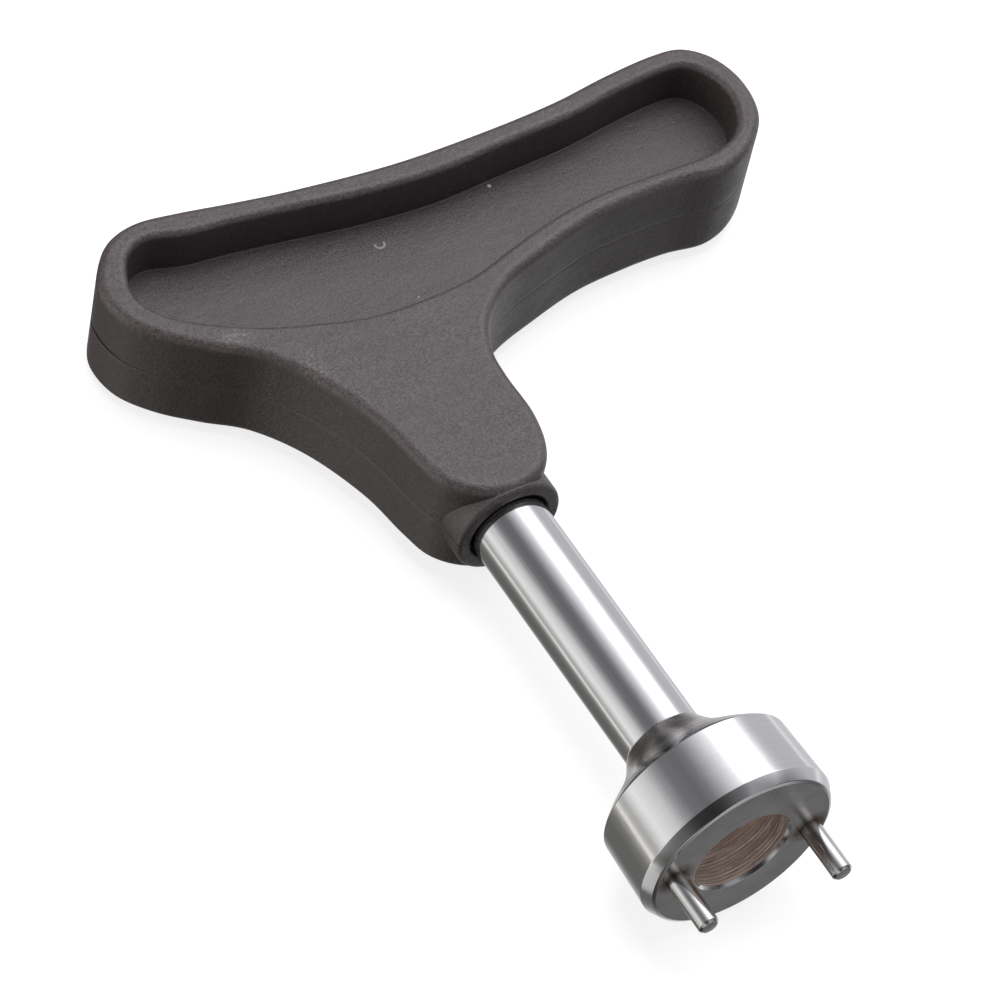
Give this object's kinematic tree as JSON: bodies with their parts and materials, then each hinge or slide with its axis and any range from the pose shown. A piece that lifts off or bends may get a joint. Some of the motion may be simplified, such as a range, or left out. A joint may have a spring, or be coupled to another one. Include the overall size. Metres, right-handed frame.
{
  "type": "case back opener",
  "caption": "Rigid hand spanner with round drive pins on a polished steel head, a straight steel shaft and an offset T-handle moulded in half shells.",
  "frame": {"origin": "centre of the head's front face, on the shaft axis", "axes": "+Y along the shaft towards the handle, +X towards the handle's long wing, +Z out of the handle's front face"},
  "size_m": [0.0736, 0.0913, 0.0204],
  "materials": {
    "handle_plastic": "fine grained, matte, dark warm grey",
    "plated_steel": "bright plated over turned steel",
    "pin_steel": "polished",
    "plain_steel": "plain ground steel"
  },
  "bodies": {
    "root": {"handle_front_shell": "handle_plastic", "handle_rear_shell": "handle_plastic", "shaft": "plated_steel", "tang_cross_pin": "plain_steel", "drive_head": "plated_steel", "drive_pin_left": "pin_steel", "drive_pin_right": "pin_steel"}
  },
  "joints": []
}
